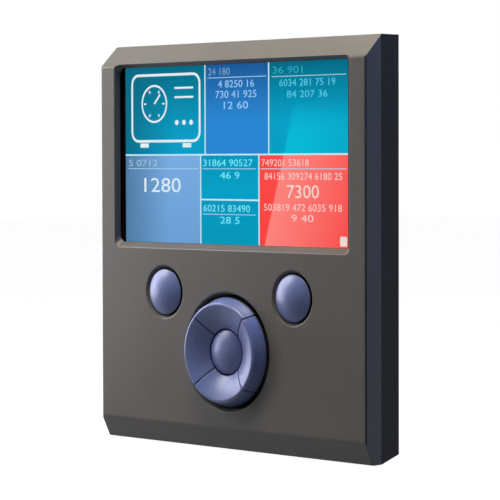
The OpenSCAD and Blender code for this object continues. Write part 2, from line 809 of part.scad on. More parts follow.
// USB socket: a thin metal mouth with its contact tongue
module usb_port(p) {
    shell = 0.5;
    tongue_t = 1.9;
    depth = 10;
    tongue_in = 1.5;
    color(steel) {
        difference() {
            block(p[0], p[1], usb_w, usb_h, board_back_y, socket_y);
            block(p[0], p[1], usb_w - 2 * shell, usb_h - 2 * shell, socket_y - depth, socket_y + 1);
        }
        block(p[0], p[1] + tongue_t / 2, usb_w - 2 * tongue_in, tongue_t, socket_y - depth - eps, socket_y - 1);
    }
}

module usb_port_1() { usb_port(usb_spots[0]); }
module usb_port_2() { usb_port(usb_spots[1]); }

// Pin socket: a plain mouth with a row of square pins that stop below it
module pin_socket(p, shell, depth, pins, pitch, pin_w, pin_sink) {
    difference() {
        block(p[0], p[1], p[2], p[3], board_back_y, socket_y);
        block(p[0], p[1], p[2] - 2 * shell, p[3] - 2 * shell, socket_y - depth, socket_y + 1);
    }
    for (i = [0 : pins - 1])
        block(p[0] + (i - (pins - 1) / 2) * pitch, p[1], pin_w, pin_w, socket_y - depth - eps, socket_y - pin_sink);
}

module terminal(p) { color([0.12, 0.3, 0.2]) pin_socket(p, 0.8, terminal_d, 2, terminal_pitch, 1, terminal_pin_sink); }
module serial_port(p) { color(black) pin_socket(p, 0.7, serial_d, 4, serial_pitch, 0.6, serial_pin_sink); }

module power_terminal() { terminal(terminal_spots[1]); }
module relay_terminal() { terminal(terminal_spots[0]); }
module serial_port_1() { serial_port(serial_spots[0]); }
module serial_port_2() { serial_port(serial_spots[1]); }

// Screw along y with a cross recess: its head's seat is at seat_y and its tip at tip_y
module screw(spot, tip_y, seat_y) {
    recess_d = 0.6 * screw_head_t;
    head_y = seat_y + screw_head_t;
    color(steel)
    difference() {
        union() {
            bar(spot, screw_r, tip_y, seat_y + eps);
            bar(spot, screw_head_r, seat_y, head_y);
        }
        block(spot[0], spot[1], 1.2 * screw_head_r, 0.6, head_y - recess_d, head_y + 1);
        block(spot[0], spot[1], 0.6, 1.2 * screw_head_r, head_y - recess_d, head_y + 1);
    }
}

module case_screws() {
    for (p = case_screw_spots) screw(p, part_y - case_grip, -screw_head_t - fit);
}

module board_screws() {
    for (p = board_screw_spots) screw(p, board_y - board_grip, board_back_y);
}

// Brass inserts for the panel bolts, each with a waist that holds it in the plastic
module panel_inserts() {
    waist = 0.3;
    color([0.8, 0.65, 0.3])
    for (p = insert_spots) turned(p[0], p[1]) polygon([
        [insert_bore_r, 0], [insert_r, 0], [insert_r, insert_l * 0.4], [insert_r - waist, insert_l * 0.45],
        [insert_r - waist, insert_l * 0.55], [insert_r, insert_l * 0.6], [insert_r, insert_l], [insert_bore_r, insert_l]
    ]);
}

front_housing();
rear_housing();
window_gasket();
display_window();
lcd_panel();
backlight_tray();
lcd_ribbon();
ribbon_socket();
left_key();
right_key();
centre_key();
up_key();
down_key();
previous_key();
next_key();
keypad_mat();
main_board();
processor();
memory_chip();
flash_chip();
network_chip();
power_coil();
capacitor_1();
capacitor_2();
buzzer();
backup_cell();
jack_1();
jack_2();
jack_3();
jack_4();
jack_5();
usb_port_1();
usb_port_2();
power_terminal();
relay_terminal();
serial_port_1();
serial_port_2();
case_screws();
board_screws();
panel_inserts();
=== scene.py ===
import math

import bmesh
import bpy
from mathutils import Matrix, Vector


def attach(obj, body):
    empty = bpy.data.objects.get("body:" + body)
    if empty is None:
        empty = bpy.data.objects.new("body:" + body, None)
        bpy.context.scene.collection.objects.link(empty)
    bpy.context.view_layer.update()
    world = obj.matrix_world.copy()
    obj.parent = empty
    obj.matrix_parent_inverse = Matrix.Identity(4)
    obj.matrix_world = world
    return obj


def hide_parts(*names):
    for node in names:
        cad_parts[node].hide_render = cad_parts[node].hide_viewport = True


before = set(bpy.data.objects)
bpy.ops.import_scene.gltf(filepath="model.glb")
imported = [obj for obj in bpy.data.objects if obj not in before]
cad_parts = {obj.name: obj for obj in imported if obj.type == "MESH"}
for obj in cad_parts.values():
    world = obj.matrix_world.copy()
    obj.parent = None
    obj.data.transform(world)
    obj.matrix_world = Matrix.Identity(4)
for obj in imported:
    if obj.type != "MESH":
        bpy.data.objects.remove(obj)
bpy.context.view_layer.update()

# ---------------------------------------------------------------- sizes, in millimetres
MM = 0.001
HALF_W = 60.0
HALF_H = 65.0
FACE_Y = -15.0          # front face; y = 0 is the panel
PLATE_Y = -12.8         # back of the plate with the key holes
GLASS_Y = -11.6         # front of the display glass
LIP_Y = -9.3            # front edge of the rear housing's locating lips
SPLIT_Y = -7.8          # split line between the housings
SHELL_END_Y = -5.2      # back end of the front housing
SOCKET_Y = 12.6         # mouths of the sockets
BOX_BACK_Y = 13.0       # back of the rear box
CASE_EASE = 0.22        # roundings of the edges
BOX_EASE = 0.2

KEY_ZONE_X = 40         # the key holes lie within this of the middle
KEY_ZONE_Z = (-54, -5)
SOFT_KEY_X = 29.1
SOFT_KEY_Z = -15.6
SOFT_KEY_R = 7.5
SOFT_FLANGE_R = 9.85
CENTRE_KEY_R = 7.15
CENTRE_FLANGE_R = 8.65
CENTRE_FLANGE_Y = -10.45
CAP_WALL = 1.5
FOOT_R = 2.4
PAD_Z = -33.7           # height of the key pad's axis
BORE_R = 7.5            # the ring's bore, face, ridge and flank, from the axis out
BORE_RISE = 0.2
RIDGE_R = 15.7
RIDGE_RISE = 4.0
RIDGE_ROUND = 0.9
RING_BULGE = 0.5
RING_FACE_R = 17.1
RING_R = 18.3
RING_FLANGE_R = 20.65
RING_FOOT_R = 2.0
RING_FOOT_REACH = 12.4
SPLIT_GAP = 0.3
SPLIT_EASE = 0.22
FLANGE_Y = -12.65       # front and back of the keys' flanges, and the ends of their feet
FLANGE_BACK_Y = -11.45
FOOT_Y = -9.25
# Below this depth the keys are painted near-black: painted shade in the gap round them
PAINTED_SHADE_Y = -14.6

PICTURE = (-51.3, 49.7, 0.3, 57.6)
CELL_Y = (GLASS_Y - 0.03, GLASS_Y - 0.001)
LINE_Y = (GLASS_Y - 0.05, GLASS_Y - 0.025)
FIGURE_Y = (GLASS_Y - 0.055, GLASS_Y - 0.028)
MID_Z = 28.9            # lines between the cells
TOP_SPLITS = (-13.05, 15.8)
LOW_SPLITS = (-15.2, 11.4)
LOW_MID_Z = 14.5

JACK_X = (-34, -17, 0, 17, 34)
JACK_Z = -44
JACK_CONTACT_Z = -39.85
USB_X = (-33, -14)
TERMINAL_X = (12, 31)
UPPER_Z = 44
SERIAL_X = -33
SERIAL_Z = (10, -2)

# ---------------------------------------------------------------- camera and light, in metres
CAMERA_SPOT = (0.55729, -0.55327, 0.02730)
CAMERA_LOOK = (-0.7120, 0.7012, -0.0369)
CAMERA_ROLL = -0.16     # degrees
CAMERA_LENS = 176.3     # millimetres
SCREEN_GLOW = 1.03
FLOOR_GLOW = 1.085
FLOOR_GLOW_SHARE = 0.9
FLOOR_TONES = (0.05, 0.8)     # to the light, and to the eye
WORLD_COLOUR = (0.55, 0.72, 1.0, 1)
WORLD_STRENGTH = 0.03
LAMP_POWER = 10.0


# ---------------------------------------------------------------- camera
def place_camera():
    """Camera where the photograph was taken from"""
    data = bpy.data.cameras.new("camera")
    data.sensor_width = 36
    data.lens = CAMERA_LENS
    data.clip_start = 0.05
    data.clip_end = 50
    camera = bpy.data.objects.new("camera", data)
    bpy.context.scene.collection.objects.link(camera)
    look = Vector(CAMERA_LOOK).normalized()
    right = look.cross(Vector((0, 0, 1))).normalized()
    up = right.cross(look)
    roll = Matrix.Rotation(math.radians(CAMERA_ROLL), 3, "Z")
    turn = Matrix((right, up, -look)).transposed() @ roll
    camera.matrix_world = Matrix.Translation(CAMERA_SPOT) @ turn.to_4x4()
    bpy.context.scene.camera = camera


# ---------------------------------------------------------------- materials
def srgb(r, g, b):
    """Colour written as 0 to 255, as the linear values a shader takes"""
    def linear(v):
        v /= 255
        return v / 12.92 if v <= 0.04045 else ((v + 0.055) / 1.055) ** 2.4
    return (linear(r), linear(g), linear(b), 1)


class Finish:
    """A material in the making: its nodes, its shader and its Object coordinates"""

    def __init__(self, name):
        self.material = bpy.data.materials.new(name)
        self.material.use_nodes = True
        self.nodes = self.material.node_tree.nodes
        self.links = self.material.node_tree.links
        self.nodes.clear()
        out = self.nodes.new("ShaderNodeOutputMaterial")
        self.shader = self.nodes.new("ShaderNodeBsdfPrincipled")
        self.links.new(self.shader.outputs[0], out.inputs[0])
        self.place = self.nodes.new("ShaderNodeTexCoord").outputs["Object"]

    def put(self, **values):
        """Set the shader's own sockets"""
        for key, value in values.items():
            self.shader.inputs[key.replace("_", " ")].default_value = value
        return self

    def join(self, source, target):
        self.links.new(source, target)

    def noise(self, size_mm, detail=3, roughness=0.55, stretch=(1, 1, 1)):
        """Noise whose features are about size_mm across"""
        mapping = self.nodes.new("ShaderNodeMapping")
        mapping.inputs["Scale"].default_value = stretch
        self.join(self.place, mapping.inputs["Vector"])
        node = self.nodes.new("ShaderNodeTexNoise")
        node.inputs["Scale"].default_value = 1 / (size_mm * MM)
        node.inputs["Detail"].default_value = detail
        node.inputs["Roughness"].default_value = roughness
        self.join(mapping.outputs[0], node.inputs["Vector"])
        return node.outputs["Fac"]

    def spread(self, source, low, high, from_low=0.3, from_high=0.7):
        """Map a noise onto a range"""
        node = self.nodes.new("ShaderNodeMapRange")
        node.inputs["From Min"].default_value = from_low
        node.inputs["From Max"].default_value = from_high
        node.inputs["To Min"].default_value = low
        node.inputs["To Max"].default_value = high
        self.join(source, node.inputs["Value"])
        return node.outputs["Result"]

    def tint(self, factor, first, second):
        """Mix two colours, each a value or a socket, by a factor"""
        node = self.nodes.new("ShaderNodeMix")
        node.data_type = "RGBA"
        for socket, colour in ((node.inputs[6], first), (node.inputs[7], second)):
            if isinstance(colour, bpy.types.NodeSocket):
                self.join(colour, socket)
            else:
                socket.default_value = colour
        self.join(factor, node.inputs[0])
        return node.outputs[2]

    def grain(self, source, depth_mm):
        """Bump of a given depth"""
        node = self.nodes.new("ShaderNodeBump")
        node.inputs["Strength"].default_value = 1.0
        node.inputs["Distance"].default_value = depth_mm * MM
        self.join(source, node.inputs["Height"])
        return node.outputs["Normal"]

    def axis(self, letter):
        """One of the Object coordinates"""
        parts = self.nodes.new("ShaderNodeSeparateXYZ")
        self.join(self.place, parts.inputs[0])
        return parts.outputs[letter]

    def compute(self, operation, first, second):
        """Add, subtract or multiply two values, each a number or a socket"""
        node = self.nodes.new("ShaderNodeMath")
        node.operation = operation
        for socket, value in zip(node.inputs, (first, second)):
            if isinstance(value, (int, float)):
                socket.default_value = value
            else:
                self.join(value, socket)
        return node.outputs[0]


def moulded(name, dark, light, roughness, specular, grain_mm=0.35, grain_depth=0.012, patch_mm=22):
    """Moulded plastic with an eroded texture and slight changes of tone"""
    f = Finish(name).put(Specular_IOR_Level=specular)
    f.join(f.tint(f.spread(f.noise(patch_mm), 0, 1), dark, light), f.shader.inputs["Base Color"])
    f.join(f.spread(f.noise(3.0), roughness - 0.04, roughness + 0.04), f.shader.inputs["Roughness"])
    f.join(f.grain(f.noise(grain_mm, 2, 0.6), grain_depth), f.shader.inputs["Normal"])
    return f.material


def satin_key(name, dark, light, metallic, roughness):
    """Key caps: satin metallic paint with fine flakes, which ends just below the face, where
    near-black painted shade takes over in the gap round each key
    """
    f = Finish(name).put(Metallic=metallic, Specular_IOR_Level=0.42)
    paint = f.tint(f.spread(f.noise(0.28, 2), 0, 1), dark, light)
    # Painted shade: near-black below the face, where the gap round each key lies in shade
    shaded_below = f.spread(f.axis("Y"), 0, 1, PAINTED_SHADE_Y * MM, (PAINTED_SHADE_Y + 0.1) * MM)
    f.join(f.tint(shaded_below, paint, srgb(16, 17, 22)), f.shader.inputs["Base Color"])
    f.join(f.spread(f.noise(2.0), roughness - 0.03, roughness + 0.03), f.shader.inputs["Roughness"])
    f.join(f.grain(f.noise(0.28, 1), 0.009), f.shader.inputs["Normal"])
    return f.material


def metal(name, dark, light, roughness, stretch=(1, 1, 1)):
    """Bare or plated metal with drawn or rolled marks"""
    f = Finish(name).put(Metallic=1.0)
    f.join(f.tint(f.spread(f.noise(4.0), 0, 1), dark, light), f.shader.inputs["Base Color"])
    marks = f.noise(0.4, 4, 0.6, stretch)
    f.join(f.spread(marks, roughness - 0.07, roughness + 0.07), f.shader.inputs["Roughness"])
    f.join(f.grain(marks, 0.002), f.shader.inputs["Normal"])
    return f.material


def clear_window(name):
    """Thin clear window with almost no glare: a faint gloss over what lies behind it"""
    f = Finish(name).put(Base_Color=(0.01, 0.01, 0.01, 1), Alpha=0.03)
    f.join(f.spread(f.noise(9.0), 0.12, 0.16), f.shader.inputs["Roughness"])
    return f.material


def display_black(name):
    """Display glass outside its picture: a black border under polished glass"""
    f = Finish(name).put(Specular_IOR_Level=0.3, Roughness=0.22)
    black = f.tint(f.spread(f.noise(14.0), 0, 1), srgb(23, 19, 25), srgb(29, 25, 32))
    f.join(black, f.shader.inputs["Base Color"])
    f.join(f.grain(f.noise(0.5, 2), 0.001), f.shader.inputs["Normal"])
    return f.material


def painted_reflection_weight(f, x, z):
    """Weight of the painted reflection on the screen: 0 left of its slanting edge, fading to the
    right and up
    """
    slope, foot_x = 0.2956, 13.35
    edge = f.compute("ADD", f.compute("MULTIPLY", z, slope), foot_x * MM)
    beyond = f.compute("SUBTRACT", x, edge)
    inside = f.spread(beyond, 0, 1, 0, 0.9 * MM)
    fade = f.spread(beyond, 1, 0.15, 2 * MM, 34 * MM)
    low = f.spread(z, 1, 0, 35 * MM, 46 * MM)
    return f.compute("MULTIPLY", inside, f.compute("MULTIPLY", fade, low))


def screen_finish(name):
    """A finish that only glows"""
    return Finish(name).put(Base_Color=(0, 0, 0, 1), Roughness=0.5, Specular_IOR_Level=0.0,
                            Emission_Strength=SCREEN_GLOW)


def lit_cell(name, top, bottom, z_top, z_bottom, left=None, x_range=None, painted_reflection=None):
    """Lit cell of the picture: a run of colour from top to bottom as painted shade, with a darker
    left as painted shade or a sheen as a painted reflection
    """
    f = screen_finish(name)
    x, z = f.axis("X"), f.axis("Z")
    # Painted shade: the colour changes in brightness from the cell's top to its bottom, and darkens
    # towards its left side where a left colour is given
    colour = f.tint(f.spread(z, 0, 1, z_top * MM, z_bottom * MM), top, bottom)
    if left is not None:
        colour = f.tint(f.spread(x, 0, 1, x_range[0] * MM, x_range[1] * MM), left, colour)
    # Painted reflection: the sheen colour is mixed in right of a slanting edge, as if a light shone
    # back off the window glass
    if painted_reflection is not None:
        colour = f.tint(painted_reflection_weight(f, x, z), colour, painted_reflection)
    f.join(colour, f.shader.inputs["Emission Color"])
    return f.material


def lit_line(name, colour):
    """Lit lines and figures, a little uneven as a display's are"""
    f = screen_finish(name)
    duller = (*(0.92 * part for part in colour[:3]), 1)
    uneven = f.tint(f.spread(f.noise(1.6, 1), 0, 1), duller, colour)
    f.join(uneven, f.shader.inputs["Emission Color"])
    return f.material


def circuit_green(name):
    """Solder mask with copper tracks showing faintly through it"""
    f = Finish(name).put(Specular_IOR_Level=0.5, Roughness=0.35, Coat_Weight=0.2)
    tracks = f.nodes.new("ShaderNodeTexVoronoi")
    tracks.distance = "CHEBYCHEV"
    tracks.inputs["Scale"].default_value = 1 / (3.2 * MM)
    f.join(f.place, tracks.inputs["Vector"])
    edge = f.spread(tracks.outputs["Distance"], 0, 1, 0.42, 0.5)
    f.join(f.tint(edge, srgb(16, 84, 52), srgb(30, 112, 66)), f.shader.inputs["Base Color"])
    f.join(f.grain(edge, 0.02), f.shader.inputs["Normal"])
    return f.material


# ---------------------------------------------------------------- mesh tools
def new_piece(name, mesh, material, body, smooth=35, replaces=None):
    """A finished piece from a mesh in metres, smooth up to an angle"""
    piece = bpy.data.objects.new(name, mesh)
    bpy.context.scene.collection.objects.link(piece)
    mesh.materials.clear()
    mesh.materials.append(material)
    if smooth:
        mesh.shade_smooth()
        mesh.set_sharp_from_angle(angle=math.radians(smooth))
        weigh = piece.modifiers.new("even", "WEIGHTED_NORMAL")
        weigh.keep_sharp = True
        weigh.weight = 60
    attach(piece, body)
    if replaces:
        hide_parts(replaces)


def to_mesh(name, bm):
    """A mesh from a bmesh, which is freed"""
    bm.normal_update()
    mesh = bpy.data.meshes.new(name)
    bm.to_mesh(mesh)
    bm.free()
    return mesh


def evaluated_mesh(source):
    """A plain mesh of an object as its curve or modifiers make it"""
    graph = bpy.context.evaluated_depsgraph_get()
    return bpy.data.meshes.new_from_object(source.evaluated_get(graph))


def joined(node):
    """A CAD node's mesh with its loose triangles joined and its flat faces made whole"""
    bm = bmesh.new()
    bm.from_mesh(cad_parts[node].data)
    bmesh.ops.remove_doubles(bm, verts=bm.verts, dist=2e-6)
    bmesh.ops.dissolve_limit(bm, angle_limit=math.radians(0.6), verts=bm.verts, edges=bm.edges)
    return bm


def ease(bm, width, pick):
    """Round the sharp convex edges that pick() takes, given their two ends in millimetres"""
    least_angle = math.radians(25)
    chosen = []
    for edge in bm.edges:
        if len(edge.link_faces) != 2 or not edge.is_convex:
            continue
        if edge.calc_face_angle(0) < least_angle:
            continue
        a, b = (v.co / MM for v in edge.verts)
        if pick(a, b):
            chosen.append(edge)
    bmesh.ops.bevel(bm, geom=chosen, offset=width * MM, offset_type="OFFSET", segments=3,
                    profile=0.5, affect="EDGES", clamp_overlap=False)


def hold_inside(bm, half_w, half_h, y0, y1):
    """Draw vertices that easing pushed past the outline back to it, in millimetres"""
    for v in bm.verts:
        v.co.x = max(-half_w * MM, min(half_w * MM, v.co.x))
        v.co.y = max(y0 * MM, min(y1 * MM, v.co.y))
        v.co.z = max(-half_h * MM, min(half_h * MM, v.co.z))


def corner(a, b, c, r, steps):
    """Points of the arc that rounds corner b, on the way from a to c, in a plane"""
    a, b, c = Vector(a), Vector(b), Vector(c)
    u, v = (a - b).normalized(), (c - b).normalized()
    half = u.angle(v) / 2
    middle = b + (u + v).normalized() * r / math.sin(half)
    first = b + u * r / math.tan(half) - middle
    last = b + v * r / math.tan(half) - middle
    return [tuple(middle + first.lerp(last, i / steps).normalized() * r)
            for i in range(steps + 1)]


def turned(profile, x, z, steps=144):
    """Closed solid: a profile of (radius, y) turned about the axis through x and z"""
    bm = bmesh.new()
    rings = []
    for r, y in profile:
        outline = circle_outline(x, z, r, steps) if r > 1e-6 else [(x, z)]
        rings.append([bm.verts.new((px * MM, y * MM, pz * MM)) for px, pz in outline])
    for one, two in zip(rings, rings[1:]):
        for i in range(steps):
            j = (i + 1) % steps
            quad = [one[i % len(one)], one[j % len(one)], two[j % len(two)], two[i % len(two)]]
            unique = [v for n, v in enumerate(quad) if v not in quad[:n]]
            if len(unique) > 2:
                bm.faces.new(unique)
    bmesh.ops.recalc_face_normals(bm, faces=bm.faces)
    return bm


BOX_FACES = ((0, 1, 3, 2), (4, 6, 7, 5), (0, 4, 5, 1), (2, 3, 7, 6), (0, 2, 6, 4), (1, 5, 7, 3))


def boxes(spans):
    """Closed boxes, each given as (x0, x1, y0, y1, z0, z1)"""
    bm = bmesh.new()
    for x0, x1, y0, y1, z0, z1 in spans:
        v = [bm.verts.new((x * MM, y * MM, z * MM))
             for x in (x0, x1) for y in (y0, y1) for z in (z0, z1)]
        for corners in BOX_FACES:
            bm.faces.new([v[i] for i in corners])
    bmesh.ops.recalc_face_normals(bm, faces=bm.faces)
    return bm


def slab(bm, outline, y0, y1):
    """Add a slab with an outline of (x, z)"""
    front = [bm.verts.new((x * MM, y0 * MM, z * MM)) for x, z in outline]
    back = [bm.verts.new((x * MM, y1 * MM, z * MM)) for x, z in outline]
    bm.faces.new(front)
    bm.faces.new(back[::-1])
    for i in range(len(outline)):
        j = (i + 1) % len(outline)
        bm.faces.new((front[i], front[j], back[j], back[i]))


def band(bm, path, width, y0, y1, closed=False):
    """Add a flat band of a given width along a path of (x, z)"""
    points = [Vector(p) for p in path]
    count = len(points)
    sides = ([], [])
    for i, p in enumerate(points):
        before = points[i - 1] if closed or i else p - (points[1] - p)
        after = points[(i + 1) % count] if closed or i < count - 1 else p + (p - points[i - 1])
        u, v = (p - before).normalized(), (after - p).normalized()
        along = (u + v).normalized()
        normal = Vector((-along.y, along.x))
        reach = width / 2 / max(0.3, abs(normal.dot(Vector((-u.y, u.x)))))
        sides[0].append(p + normal * reach)
        sides[1].append(p - normal * reach)
    a, b, c, d = ([bm.verts.new((q.x * MM, y * MM, q.y * MM)) for q in side]
                  for y in (y0, y1) for side in sides)
    last = count if closed else count - 1
    for i in range(last):
        j = (i + 1) % count
        for one, two in ((a, b), (b, d), (d, c), (c, a)):
            bm.faces.new((one[i], one[j], two[j], two[i]))
    if not closed:
        bm.faces.new((a[0], b[0], d[0], c[0]))
        bm.faces.new((a[-1], c[-1], d[-1], b[-1]))


def rounded_outline(x0, x1, z0, z1, r, steps=6):
    """Outline of a rectangle with round corners"""
    points = []
    centres = ((x1 - r, z1 - r), (x0 + r, z1 - r), (x0 + r, z0 + r), (x1 - r, z0 + r))
    for (cx, cz), start in zip(centres, (0, 90, 180, 270)):
        for i in range(steps + 1):
            t = math.radians(start + 90 * i / steps)
            points.append((cx + r * math.cos(t), cz + r * math.sin(t)))
    return points


def circle_outline(x, z, r, steps=48):
    """Outline of a circle"""
    turns = (2 * math.pi * i / steps for i in range(steps))
    return [(x + r * math.cos(t), z + r * math.sin(t)) for t in turns]


# ---------------------------------------------------------------- housings
def front_case(material):
    """Front housing with its outside edges, hole rims and window rim eased"""
    bm = joined("front_housing")
    def outside(a, b):
        back = max(a.y, b.y)
        on_side = min(abs(a.x), abs(b.x)) > HALF_W - 0.5
        on_end = min(abs(a.z), abs(b.z)) > HALF_H - 0.05
        on_face = back < FACE_Y + 0.02
        near_keys = abs(a.x) < KEY_ZONE_X and KEY_ZONE_Z[0] < a.z < KEY_ZONE_Z[1]
        return on_side or on_end or on_face or (near_keys and back < FACE_Y + 1.0)
    ease(bm, CASE_EASE, outside)
    hold_inside(bm, HALF_W, HALF_H, FACE_Y, SHELL_END_Y)
    new_piece("front_case", to_mesh("front_case", bm), material, "housing",
              replaces="front_housing")


def rear_case(material):
    """Rear housing with the flange, the box and the socket cut-outs eased"""
    bm = joined("rear_housing")
    def outside(a, b):
        front, back = min(a.y, b.y), max(a.y, b.y)
        on_side = min(abs(a.x), abs(b.x)) > HALF_W - 0.1
        on_end = min(abs(a.z), abs(b.z)) > HALF_H - 2.6
        on_flange = front > SPLIT_Y - 0.05 and back < 0.05 and (on_side or on_end)
        return on_flange or front > BOX_BACK_Y - 0.02
    ease(bm, BOX_EASE, outside)
    hold_inside(bm, HALF_W, HALF_H, LIP_Y, BOX_BACK_Y)
    new_piece("rear_case", to_mesh("rear_case", bm), material, "housing",
              replaces="rear_housing")


# ---------------------------------------------------------------- keys
def dome(r, rim_y, rise):
    """Dome of a key, as (radius, y) from its middle to where its rim is eased"""
    crown_r = (r * r + rise * rise) / (2 * rise)
    centre_y = rim_y - rise + crown_r
    radii = [(r - 0.8) * i / 20 for i in range(21)]
    return [(at, centre_y - math.sqrt(crown_r ** 2 - at ** 2)) for at in radii]


def domed_profile(r, rim_y, rise, flange_r, flange_y, low_y):
    """Section of a domed key: eased rim, flange, hollow back and foot"""
    small = 0.15
    crown = dome(r, rim_y, rise)
    profile = crown + corner(crown[-1], (r, rim_y), (r, rim_y + 2), 0.7, 8)
    profile += [(r, flange_y - small), (r + small, flange_y),
                (flange_r - small, flange_y), (flange_r, flange_y + small), (flange_r, low_y)]
    inner_r, inner_y = r - CAP_WALL, rim_y + CAP_WALL
    profile += [(inner_r, low_y), (inner_r, inner_y), (FOOT_R, inner_y),
                (FOOT_R, FOOT_Y - 0.2), (FOOT_R - 0.2, FOOT_Y), (0, FOOT_Y)]
    return profile


def key_cap(name, bm, material):
    """The piece of a key, on its own body"""
    new_piece(name + "_key_cap", to_mesh(name + "_key_cap", bm), material, name + "_button",
              replaces=name + "_key")


def soft_key(side, material):
    """Round domed key in its own hole"""
    name = "left" if side < 0 else "right"
    profile = domed_profile(SOFT_KEY_R, FACE_Y + 0.4, 2.2, SOFT_FLANGE_R, FLANGE_Y, FLANGE_BACK_Y)
    key_cap(name, turned(profile, side * SOFT_KEY_X, SOFT_KEY_Z), material)


def centre_key(material):
    """Domed key inside the ring"""
    profile = domed_profile(CENTRE_KEY_R, FACE_Y, 2.1, CENTRE_FLANGE_R, CENTRE_FLANGE_Y, FOOT_Y)
    key_cap("centre", turned(profile, 0, PAD_Z), material)


def ring_profile():
    """Section of the key ring, as (radius, y) points"""
    def risen(t):
        rise = BORE_RISE + (RIDGE_RISE - BORE_RISE) * t + RING_BULGE * 4 * t * (1 - t)
        return (BORE_R + (RIDGE_R - BORE_R) * t, FACE_Y - rise)
    ridge, flank = (RIDGE_R, FACE_Y - RIDGE_RISE), (RING_FACE_R, FACE_Y)
    face = [risen(i / 16) for i in range(1, 15)]
    points = [(BORE_R, FLANGE_BACK_Y)]
    points += corner((BORE_R, FLANGE_BACK_Y), risen(0), risen(1 / 16), 0.25, 4)
    points += face
    points += corner(face[-1], ridge, flank, RIDGE_ROUND, 10)
    points += [flank, (RING_R, PLATE_Y), (RING_R, FLANGE_Y),
               (RING_FLANGE_R, FLANGE_Y), (RING_FLANGE_R, FLANGE_BACK_Y)]
    return points


def inward_miters(profile):
    """For each point of a closed section, the step inwards that sinks both its edges by 1"""
    count = len(profile)
    area = sum(profile[i - 1].cross(profile[i]) for i in range(count))
    side = 1 if area > 0 else -1
    miters = []
    for i, p in enumerate(profile):
        u, v = (p - profile[i - 1]).normalized(), (profile[(i + 1) % count] - p).normalized()
        along = (u + v).normalized()
        inward = Vector((-along.y, along.x)) * side
        edge_normal = Vector((-u.y, u.x)) * side
        miters.append(inward / max(0.35, inward.dot(edge_normal)))
    return miters


def ring_key(name, turn, material):
    """One key of the ring: its section swept between two eased split planes, and a foot"""
    profile = [Vector(p) for p in ring_profile()]
    count = len(profile)
    inset = [SPLIT_EASE * (1 - math.cos(math.radians(22.5 * k))) for k in range(5)]
    sink = [SPLIT_EASE - math.sqrt(max(0, SPLIT_EASE ** 2 - (SPLIT_EASE - d) ** 2)) for d in inset]
    middle = 22
    bm = bmesh.new()
    rows = []
    for p, miter in zip(profile, inward_miters(profile)):
        ends = [math.radians(45) - math.asin((d + SPLIT_GAP / 2) / p.x) for d in inset]
        stations = [(-t, depth) for t, depth in zip(ends, sink)]
        stations += [(-ends[-1] + 2 * ends[-1] * k / middle, 0) for k in range(1, middle)]
        stations += [(t, depth) for t, depth in zip(ends[::-1], sink[::-1])]
        row = []
        for angle, depth in stations:
            q = p + miter * depth
            t = math.radians(90) - angle + math.radians(-turn)
            x, z = q.x * math.cos(t), PAD_Z + q.x * math.sin(t)
            row.append(bm.verts.new((x * MM, q.y * MM, z * MM)))
        rows.append(row)
    for i in range(count):
        one, two = rows[i], rows[(i + 1) % count]
        for k in range(len(one) - 1):
            bm.faces.new((one[k], one[k + 1], two[k + 1], two[k]))
    for end in (0, -1):
        cap = bm.faces.new([row[end] for row in rows])
        bmesh.ops.triangulate(bm, faces=[cap])
    foot_top = FLANGE_BACK_Y - 0.4
    foot_profile = [(0, foot_top), (RING_FOOT_R, foot_top), (RING_FOOT_R, FOOT_Y - 0.2),
                    (RING_FOOT_R - 0.2, FOOT_Y), (0, FOOT_Y)]
    foot_x = RING_FOOT_REACH * math.sin(math.radians(turn))
    foot_z = PAD_Z + RING_FOOT_REACH * math.cos(math.radians(turn))
    foot_mesh = to_mesh("foot", turned(foot_profile, foot_x, foot_z, 48))
    bm.from_mesh(foot_mesh)
    bpy.data.meshes.remove(foot_mesh)
    bmesh.ops.recalc_face_normals(bm, faces=bm.faces)
    key_cap(name, bm, material)


# ---------------------------------------------------------------- picture on the display
def flat_piece(name, bm, material):
    """A piece of the picture, with flat faces"""
    new_piece(name, to_mesh(name, bm), material, "housing", smooth=0)


def cell(name, x0, x1, z0, z1, material):
    """One coloured field of the picture"""
    flat_piece(name, boxes([(x0, x1, *CELL_Y, z0, z1)]), material)


def cells():
    """The seven coloured cells of the picture"""
    left, right, low, high = PICTURE
    # The top cells are painted darker at the top and the cells with a left colour darker at the
    # left, as painted shade; the sheen colours are a painted reflection
    cell("cell_drawing", left, TOP_SPLITS[0], MID_Z, high,
         lit_cell("cell drawing glow", srgb(0, 106, 132), srgb(2, 158, 200), high, 36,
                  left=srgb(4, 108, 134), x_range=(-52, -27)))
    cell("cell_status", TOP_SPLITS[0], TOP_SPLITS[1], MID_Z, high,
         lit_cell("cell status glow", srgb(26, 88, 152), srgb(40, 135, 212), high, 40))
    cell("cell_plan", TOP_SPLITS[1], right, MID_Z, high,
         lit_cell("cell plan glow", srgb(0, 106, 132), srgb(0, 160, 199), high, 40,
                  painted_reflection=srgb(0, 190, 218)))
    cell("cell_input", left, LOW_SPLITS[0], low, MID_Z,
         lit_cell("cell input glow", srgb(122, 173, 228), srgb(108, 160, 214), MID_Z, 0,
                  left=srgb(80, 124, 164), x_range=(-51, -30)))
    cell("cell_total", LOW_SPLITS[0], LOW_SPLITS[1], LOW_MID_Z, MID_Z,
         lit_cell("cell total glow", srgb(0, 152, 190), srgb(1, 161, 202), MID_Z, 16))
    cell("cell_today", LOW_SPLITS[0], LOW_SPLITS[1], low, LOW_MID_Z,
         lit_cell("cell today glow", srgb(0, 154, 192), srgb(0, 153, 190), 14, 0,
                  painted_reflection=srgb(0, 190, 218)))
    cell("cell_switch", LOW_SPLITS[1], right, low, MID_Z,
         lit_cell("cell switch glow", srgb(255, 74, 70), srgb(250, 68, 66), MID_Z, 0,
                  painted_reflection=srgb(255, 132, 126)))


